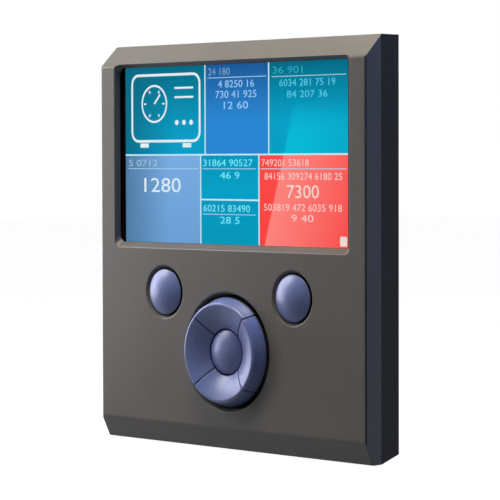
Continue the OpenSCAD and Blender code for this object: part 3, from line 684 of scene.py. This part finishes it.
def dividers():
    """White lines between the cells and under their headings"""
    left, right, low, high = PICTURE
    half, half_rule = 0.25, 0.12
    spans = [(left, right, *LINE_Y, MID_Z - half, MID_Z + half)]
    spans += [(x - half, x + half, *LINE_Y, MID_Z, high) for x in TOP_SPLITS]
    spans += [(x - half, x + half, *LINE_Y, low, MID_Z) for x in LOW_SPLITS]
    spans += [(*LOW_SPLITS, *LINE_Y, LOW_MID_Z - half, LOW_MID_Z + half)]
    flat_piece("picture_dividers", boxes(spans), lit_line("divider glow", srgb(200, 240, 252)))
    rules = ((-11.8, 14.6, 53.4), (17.2, 49, 53.1), (-50, -16.3, 24.4),
             (-14.2, 10, 24.4), (-14.2, 10, 9.85), (12.3, 49.1, 24.4))
    spans = [(x0, x1, *LINE_Y, z - half_rule, z + half_rule) for x0, x1, z in rules]
    flat_piece("picture_rules", boxes(spans), lit_line("rule glow", srgb(168, 216, 236)))


def figures(name, rows, material):
    """Plain numbers: rows of (text, left or middle x, foot z, height, width, middle?)"""
    half_thick = 0.01
    middle_y, half_y = sum(FIGURE_Y) / 2, (FIGURE_Y[1] - FIGURE_Y[0]) / 2
    bm = bmesh.new()
    for text, x, z, height, width, centred in rows:
        curve = bpy.data.curves.new("figures", "FONT")
        curve.body = text
        curve.extrude = half_thick
        curve.resolution_u = 3
        source = bpy.data.objects.new("figures", curve)
        bpy.context.scene.collection.objects.link(source)
        bpy.context.view_layer.update()
        mesh = evaluated_mesh(source)
        xs = [v.co.x for v in mesh.vertices]
        ys = [v.co.y for v in mesh.vertices]
        x0, y0 = min(xs), min(ys)
        sx, sy = width / (max(xs) - x0), height / (max(ys) - y0)
        start = x - width / 2 if centred else x
        for v in mesh.vertices:
            v.co = Vector(((start + (v.co.x - x0) * sx) * MM,
                           (middle_y - v.co.z / half_thick * half_y) * MM,
                           (z + (v.co.y - y0) * sy) * MM))
        bm.from_mesh(mesh)
        bpy.data.objects.remove(source)
        bpy.data.curves.remove(curve)
        bpy.data.meshes.remove(mesh)
    bmesh.ops.remove_doubles(bm, verts=bm.verts, dist=1e-6)
    bmesh.ops.recalc_face_normals(bm, faces=bm.faces)
    flat_piece(name, bm, material)


def all_figures():
    """The numbers in each cell, from the top left to the low right"""
    figures("status_heading", [("24 180", -11.6, 54.2, 2.3, 10, False)],
            lit_line("status heading glow", srgb(118, 164, 202)))
    figures("status_values", (
        ("4 8250 16", 1.1, 50.2, 2.3, 16.4, True), ("730 41 925", 1.1, 46.9, 2.3, 18.6, True),
        ("12 60", 1.1, 43.4, 2.3, 11, True)),
        lit_line("status value glow", srgb(156, 206, 250)))
    figures("plan_heading", [("36 901", 17.6, 54.0, 2.2, 13, False)],
            lit_line("plan heading glow", srgb(50, 168, 194)))
    figures("plan_values", (
        ("6034 281 75 19", 32.5, 50.0, 2.2, 24, True), ("84 207 36", 32.5, 46.4, 2.2, 17.4, True)),
        lit_line("plan value glow", srgb(84, 208, 238)))
    figures("input_heading", [("5 0712", -49.8, 25.2, 2.2, 14, False)],
            lit_line("input heading glow", srgb(162, 200, 228)))
    figures("input_value", [("1280", -33.4, 16.7, 4.7, 17.6, True)],
            lit_line("input value glow", srgb(220, 242, 252)))
    figures("time_figures", (
        ("31864 90527", -14, 25.2, 2.2, 22.6, False), ("46 9", -1.75, 21.2, 2.2, 8.8, True),
        ("60215 83490", -14, 10.7, 2.2, 21.4, False), ("28 5", -1.75, 6.9, 2.2, 8.8, True)),
        lit_line("time glow", srgb(118, 240, 255)))
    figures("switch_figures", (
        ("749201 53618", 12.6, 25.2, 2.2, 20.6, False),
        ("84156 309274 6180 25", 30.6, 21.0, 2.2, 33.4, True),
        ("503819 472 6035 918", 30.4, 11.3, 2.2, 33.6, True),
        ("9 40", 30.4, 8.0, 2.2, 9.4, True)),
        lit_line("switch glow", srgb(255, 206, 199)))
    figures("switch_value", [("7300", 30.6, 15.3, 4.1, 13.8, True)],
            lit_line("switch value glow", srgb(255, 216, 210)))


def drawing():
    """Line drawing of a plain cabinet with a round gauge, on two feet"""
    gauge_x, gauge_z = -37.2, 45.6
    line, thick_line, tick_line = 0.65, 0.85, 0.5
    bm = bmesh.new()
    band(bm, rounded_outline(-48.0, -15.6, 33.4, 55.0, 3.0), thick_line, *LINE_Y, closed=True)
    band(bm, circle_outline(gauge_x, gauge_z, 5.9), line, *LINE_Y, closed=True)
    band(bm, [(gauge_x, gauge_z), (-34.4, 48.6)], line, *LINE_Y)
    for turn in range(-60, 241, 60):
        t = math.radians(turn)
        tick = [(gauge_x + r * math.cos(t), gauge_z + r * math.sin(t)) for r in (3.9, 4.9)]
        band(bm, tick, tick_line, *LINE_Y)
    for x0 in (-44.0, -23.6):
        slab(bm, [(x0, 31.3), (x0 + 4, 31.3), (x0 + 4, 32.7), (x0, 32.7)], *LINE_Y)
    for z in (50.6, 47.6):
        band(bm, [(-27.4, z), (-18.6, z)], line, *LINE_Y)
    for i in range(3):
        slab(bm, circle_outline(-26.4 + 3.4 * i, 39.4, 0.85, 20), *LINE_Y)
    bmesh.ops.recalc_face_normals(bm, faces=bm.faces)
    flat_piece("picture_drawing", bm, lit_line("drawing glow", srgb(228, 246, 250)))


def tab():
    """Small pale tab in the picture's low right corner"""
    bm = bmesh.new()
    slab(bm, rounded_outline(46.4, 49.3, 0.8, 3.8, 0.4, 3), *LINE_Y)
    bmesh.ops.recalc_face_normals(bm, faces=bm.faces)
    flat_piece("picture_tab", bm, lit_line("tab glow", srgb(240, 225, 215)))


# ---------------------------------------------------------------- sockets at the back
def pin_tree():
    """Geometry nodes for a row of bars along x"""
    tree = bpy.data.node_groups.new("row of bars", "GeometryNodeTree")
    face = tree.interface
    face.new_socket("Count", in_out="INPUT", socket_type="NodeSocketInt")
    face.new_socket("Pitch", in_out="INPUT", socket_type="NodeSocketFloat")
    face.new_socket("Bar size", in_out="INPUT", socket_type="NodeSocketVector")
    face.new_socket("Start", in_out="INPUT", socket_type="NodeSocketVector")
    face.new_socket("Finish", in_out="INPUT", socket_type="NodeSocketMaterial")
    face.new_socket("Geometry", in_out="OUTPUT", socket_type="NodeSocketGeometry")
    n, link = tree.nodes, tree.links.new
    given, out = n.new("NodeGroupInput"), n.new("NodeGroupOutput")
    line = n.new("GeometryNodeMeshLine")
    step = n.new("ShaderNodeCombineXYZ")
    bar = n.new("GeometryNodeMeshCube")
    place = n.new("GeometryNodeInstanceOnPoints")
    real = n.new("GeometryNodeRealizeInstances")
    finish = n.new("GeometryNodeSetMaterial")
    link(given.outputs["Count"], line.inputs["Count"])
    link(given.outputs["Pitch"], step.inputs["X"])
    link(given.outputs["Start"], line.inputs["Start Location"])
    link(step.outputs[0], line.inputs["Offset"])
    link(given.outputs["Bar size"], bar.inputs["Size"])
    link(line.outputs[0], place.inputs["Points"])
    link(bar.outputs[0], place.inputs["Instance"])
    link(place.outputs[0], real.inputs[0])
    link(real.outputs[0], finish.inputs["Geometry"])
    link(given.outputs["Finish"], finish.inputs["Material"])
    link(finish.outputs[0], out.inputs[0])
    return tree


def bar_row(tree, count, pitch, size, centre, material):
    """Mesh of one row of bars, from the tree"""
    carrier = bpy.data.objects.new("row", bpy.data.meshes.new("row"))
    bpy.context.scene.collection.objects.link(carrier)
    modifier = carrier.modifiers.new("row", "NODES")
    modifier.node_group = tree
    start = (centre[0] - pitch * (count - 1) / 2, centre[1], centre[2])
    values = {"Count": count, "Pitch": pitch * MM, "Bar size": [v * MM for v in size],
              "Start": [v * MM for v in start], "Finish": material}
    for socket in tree.interface.items_tree:
        if socket.in_out == "INPUT":
            modifier[socket.identifier] = values[socket.name]
    bpy.context.view_layer.update()
    mesh = evaluated_mesh(carrier)
    carrier.modifiers.remove(modifier)
    bpy.data.objects.remove(carrier)
    return mesh


def rows_piece(name, tree, material, rows):
    """One piece from several rows of bars"""
    bm = bmesh.new()
    for row in rows:
        mesh = bar_row(tree, *row, material)
        bm.from_mesh(mesh)
        bpy.data.meshes.remove(mesh)
    bmesh.ops.bevel(bm, geom=list(bm.edges), offset=0.05 * MM, segments=1, affect="EDGES",
                    clamp_overlap=True)
    bmesh.ops.recalc_face_normals(bm, faces=bm.faces)
    new_piece(name, to_mesh(name, bm), material, "housing", smooth=40)


def sockets(gold, black, nickel):
    """Linings, tongues and contacts inside the sockets"""
    tree = pin_tree()
    rows_piece("jack_contacts", tree, gold,
               [(8, 1.016, (0.42, 8.6, 0.36), (x, 6.6, JACK_CONTACT_Z)) for x in JACK_X])
    rows_piece("usb_contacts", tree, gold,
               [(4, 2.2, (1.1, 7.0, 0.16), (x, 7.6, UPPER_Z - 0.08)) for x in USB_X])
    rows_piece("serial_pins", tree, gold,
               [(4, 2.0, (0.68, 4.2, 0.68), (SERIAL_X, 8.56, z)) for z in SERIAL_Z])
    rows_piece("terminal_pins", tree, nickel,
               [(2, 5.08, (1.1, 4.0, 1.1), (x, 6.06, UPPER_Z)) for x in TERMINAL_X])
    rows_piece("usb_tongues", tree, black,
               [(1, 0, (11.5, 9.0, 2.0), (x, 7.15, UPPER_Z + 0.95)) for x in USB_X])
    bm = bmesh.new()
    for x in JACK_X:
        jack_lining(bm, x)
    bmesh.ops.recalc_face_normals(bm, faces=bm.faces)
    new_piece("jack_linings", to_mesh("jack_linings", bm), black, "housing",
              smooth=40)


def jack_lining(bm, x):
    """Black lining of one network socket: the plug's mouth with the latch's slot below it"""
    z = JACK_Z + 1.1
    mouth_w, mouth_h, slot_w, slot_h = 11.9, 6.9, 6.2, 2.2
    clearance, wall = 0.02, 0.43
    def outline(draw):
        w, lw = mouth_w / 2 - draw, slot_w / 2 - draw
        top, low = z + mouth_h / 2 - draw, z - mouth_h / 2 + draw
        latch = low - slot_h
        return [(x - w, top), (x - w, low), (x - lw, low), (x - lw, latch),
                (x + lw, latch), (x + lw, low), (x + w, low), (x + w, top)]
    outer, inner = outline(clearance), outline(clearance + wall)
    mouth_y = SOCKET_Y - 0.1
    rings = []
    for shape, y in ((outer, 0.5), (outer, mouth_y), (inner, mouth_y), (inner, 0.9)):
        rings.append([bm.verts.new((px * MM, y * MM, pz * MM)) for px, pz in shape])
    for one, two in zip(rings, rings[1:]):
        for i in range(len(one)):
            j = (i + 1) % len(one)
            bm.faces.new((one[i], one[j], two[j], two[i]))
    bm.faces.new(rings[0])
    bm.faces.new(rings[-1])


# ---------------------------------------------------------------- parts kept from the frame
def dress(material, *names):
    """Give CAD nodes a finish"""
    for name in names:
        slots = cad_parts[name].data.materials
        slots.clear()
        slots.append(material)


def dress_frame_parts(finishes):
    """Finishes of the parts that keep their CAD shape"""
    dress(finishes["window"], "display_window")
    dress(finishes["display"], "lcd_panel")
    dress(finishes["gasket"], "window_gasket")
    dress(finishes["tray"], "backlight_tray")
    dress(finishes["ribbon"], "lcd_ribbon")
    dress(finishes["ivory"], "ribbon_socket")
    dress(finishes["silicone"], "keypad_mat")
    dress(finishes["board"], "main_board")
    dress(finishes["heat_sink"], "processor")
    dress(finishes["chip"], "memory_chip", "flash_chip", "network_chip", "buzzer")
    dress(finishes["ferrite"], "power_coil")
    dress(finishes["can"], "capacitor_1", "capacitor_2")
    dress(finishes["cell"], "backup_cell")
    dress(finishes["shield"], "jack_1", "jack_2", "jack_3", "jack_4", "jack_5",
          "usb_port_1", "usb_port_2")
    dress(finishes["terminal"], "power_terminal", "relay_terminal")
    dress(finishes["socket_black"], "serial_port_1", "serial_port_2")
    dress(finishes["screw"], "case_screws", "board_screws")
    dress(finishes["brass"], "panel_inserts")


def make_finishes():
    """Every finish of the part, by a short name"""
    return {
        "front": moulded("front plastic", srgb(89, 88, 88), srgb(95, 94, 93), 0.35, 0.23,
                         grain_depth=0.018),
        "rear": moulded("rear plastic", srgb(36, 36, 38), srgb(42, 42, 45), 0.6, 0.15),
        "key": satin_key("key paint", srgb(77, 92, 146), srgb(93, 108, 164), 0.06, 0.37),
        "window": clear_window("window"),
        "display": display_black("display border"),
        "gasket": moulded("gasket foam", srgb(18, 17, 20), srgb(24, 22, 26), 0.9, 0.1,
                          0.15, 0.02, 3),
        "tray": metal("tray metal", srgb(186, 188, 192), srgb(204, 206, 210), 0.35, (1, 1, 12)),
        "ribbon": moulded("ribbon film", srgb(176, 112, 44), srgb(196, 128, 54), 0.4, 0.5,
                          0.5, 0.004, 6),
        "ivory": moulded("ivory plastic", srgb(214, 208, 190), srgb(224, 218, 200), 0.45, 0.4,
                         0.3, 0.005, 4),
        "silicone": moulded("silicone rubber", srgb(70, 73, 78), srgb(80, 83, 88), 0.65, 0.3,
                            0.4, 0.01, 8),
        "board": circuit_green("circuit board"),
        "heat_sink": metal("black anodised metal", srgb(52, 54, 58), srgb(66, 68, 72), 0.45,
                           (1, 10, 1)),
        "chip": moulded("chip resin", srgb(30, 30, 32), srgb(38, 38, 40), 0.6, 0.4,
                        0.2, 0.006, 3),
        "ferrite": moulded("ferrite", srgb(66, 66, 70), srgb(80, 80, 84), 0.7, 0.4,
                           0.3, 0.02, 3),
        "can": metal("capacitor can", srgb(176, 180, 186), srgb(196, 200, 206), 0.3, (1, 10, 1)),
        "cell": metal("cell steel", srgb(190, 190, 188), srgb(210, 210, 208), 0.3),
        "shield": metal("nickel shield", srgb(180, 178, 172), srgb(202, 200, 194), 0.32, (8, 1, 1)),
        "terminal": moulded("terminal plastic", srgb(38, 92, 62), srgb(46, 104, 70), 0.5, 0.4,
                            0.3, 0.006, 4),
        "socket_black": moulded("socket plastic", srgb(30, 30, 31), srgb(38, 38, 39), 0.5, 0.35,
                                0.3, 0.006, 4),
        "gold": metal("gold contact", srgb(214, 170, 88), srgb(232, 190, 108), 0.25, (1, 8, 1)),
        "nickel": metal("tinned pin", srgb(196, 196, 196), srgb(214, 214, 214), 0.28, (1, 8, 1)),
        "screw": metal("zinc screw", srgb(164, 168, 174), srgb(190, 194, 200), 0.35),
        "brass": metal("brass insert", srgb(186, 150, 82), srgb(206, 170, 98), 0.32),
    }


# ---------------------------------------------------------------- studio
def square_lamp(name, reach, size, around, up, colour):
    """Lamp that faces the object: its distance and size, its two angles and its light"""
    data = bpy.data.lights.new(name, "AREA")
    data.size = size
    data.energy = LAMP_POWER
    data.color = colour
    lamp = bpy.data.objects.new(name, data)
    bpy.context.scene.collection.objects.link(lamp)
    a, e = math.radians(around), math.radians(up)
    spot = Vector((math.cos(e) * math.sin(a), -math.cos(e) * math.cos(a), math.sin(e))) * reach
    lamp.location = spot
    lamp.rotation_euler = (-spot).to_track_quat("-Z", "Y").to_euler()


def seen_ray(nodes, links):
    """1 for rays from the camera, off gloss and through glass"""
    path = nodes.new("ShaderNodeLightPath")
    first = nodes.new("ShaderNodeMath")
    first.operation = "MAXIMUM"
    links.new(path.outputs["Is Camera Ray"], first.inputs[0])
    links.new(path.outputs["Is Glossy Ray"], first.inputs[1])
    second = nodes.new("ShaderNodeMath")
    second.operation = "MAXIMUM"
    links.new(first.outputs[0], second.inputs[0])
    links.new(path.outputs["Is Transmission Ray"], second.inputs[1])
    return second.outputs[0]


def world_light():
    """Dim light from all round, and white behind the object"""
    world = bpy.data.worlds.new("studio")
    world.use_nodes = True
    nodes, links = world.node_tree.nodes, world.node_tree.links
    nodes.clear()
    out = nodes.new("ShaderNodeOutputWorld")
    mix = nodes.new("ShaderNodeMixShader")
    dim, white = nodes.new("ShaderNodeBackground"), nodes.new("ShaderNodeBackground")
    dim.inputs["Color"].default_value = WORLD_COLOUR
    dim.inputs["Strength"].default_value = WORLD_STRENGTH
    white.inputs["Color"].default_value = (1, 1, 1, 1)
    links.new(seen_ray(nodes, links), mix.inputs[0])
    links.new(dim.outputs[0], mix.inputs[1])
    links.new(white.outputs[0], mix.inputs[2])
    links.new(mix.outputs[0], out.inputs[0])
    bpy.context.scene.world = world


def pale_floor():
    """Card that is dim to the light and near-white to the eye, so that a shadow still shows"""
    material = bpy.data.materials.new("pale floor")
    material.use_nodes = True
    nodes, links = material.node_tree.nodes, material.node_tree.links
    nodes.clear()
    out = nodes.new("ShaderNodeOutputMaterial")
    card, glow = nodes.new("ShaderNodeBsdfDiffuse"), nodes.new("ShaderNodeEmission")
    glow.inputs["Strength"].default_value = FLOOR_GLOW
    pale = nodes.new("ShaderNodeMapRange")
    pale.inputs["To Min"].default_value, pale.inputs["To Max"].default_value = FLOOR_TONES
    seen = seen_ray(nodes, links)
    links.new(seen, pale.inputs["Value"])
    links.new(pale.outputs["Result"], card.inputs["Color"])
    mix = nodes.new("ShaderNodeMixShader")
    share = nodes.new("ShaderNodeMath")
    share.operation = "MULTIPLY"
    share.inputs[1].default_value = FLOOR_GLOW_SHARE
    links.new(seen, share.inputs[0])
    links.new(share.outputs[0], mix.inputs[0])
    links.new(card.outputs[0], mix.inputs[1])
    links.new(glow.outputs[0], mix.inputs[2])
    links.new(mix.outputs[0], out.inputs[0])
    return material


def floor():
    """Floor just under the object"""
    reach, level = 2.5, -HALF_H * MM - 0.0005
    bm = bmesh.new()
    bm.faces.new([bm.verts.new((x * reach, y * reach, level))
                  for x, y in ((-1, -1), (1, -1), (1, 1), (-1, 1))])
    plane = bpy.data.objects.new("floor", to_mesh("floor", bm))
    bpy.context.scene.collection.objects.link(plane)
    plane.data.materials.append(pale_floor())


def studio():
    """View, floor and lamps around the object"""
    bpy.context.scene.view_settings.view_transform = "Standard"
    world_light()
    floor()
    square_lamp("key lamp", 0.30, 0.10, -57, 31, (0.051, 0.049, 0.042))
    square_lamp("high lamp", 0.70, 0.28, 0, 80, (0.70, 0.627, 0.486))
    square_lamp("low left lamp", 0.36, 0.28, -80, 2, (0.156, 0.148, 0.168))
    square_lamp("tall left lamp", 0.60, 0.25, -126, 50, (0.10, 0.08, 0.04))
    square_lamp("side lamp", 0.40, 0.20, 95, 50, (0.0, 0.014, 0.056))


place_camera()
finishes = make_finishes()
front_case(finishes["front"])
rear_case(finishes["rear"])
soft_key(-1, finishes["key"])
soft_key(1, finishes["key"])
centre_key(finishes["key"])
for key_name, key_turn in (("up", 0), ("next", 90), ("down", 180), ("previous", 270)):
    ring_key(key_name, key_turn, finishes["key"])
cells()
dividers()
all_figures()
drawing()
tab()
sockets(finishes["gold"], finishes["socket_black"], finishes["nickel"])
dress_frame_parts(finishes)
studio()
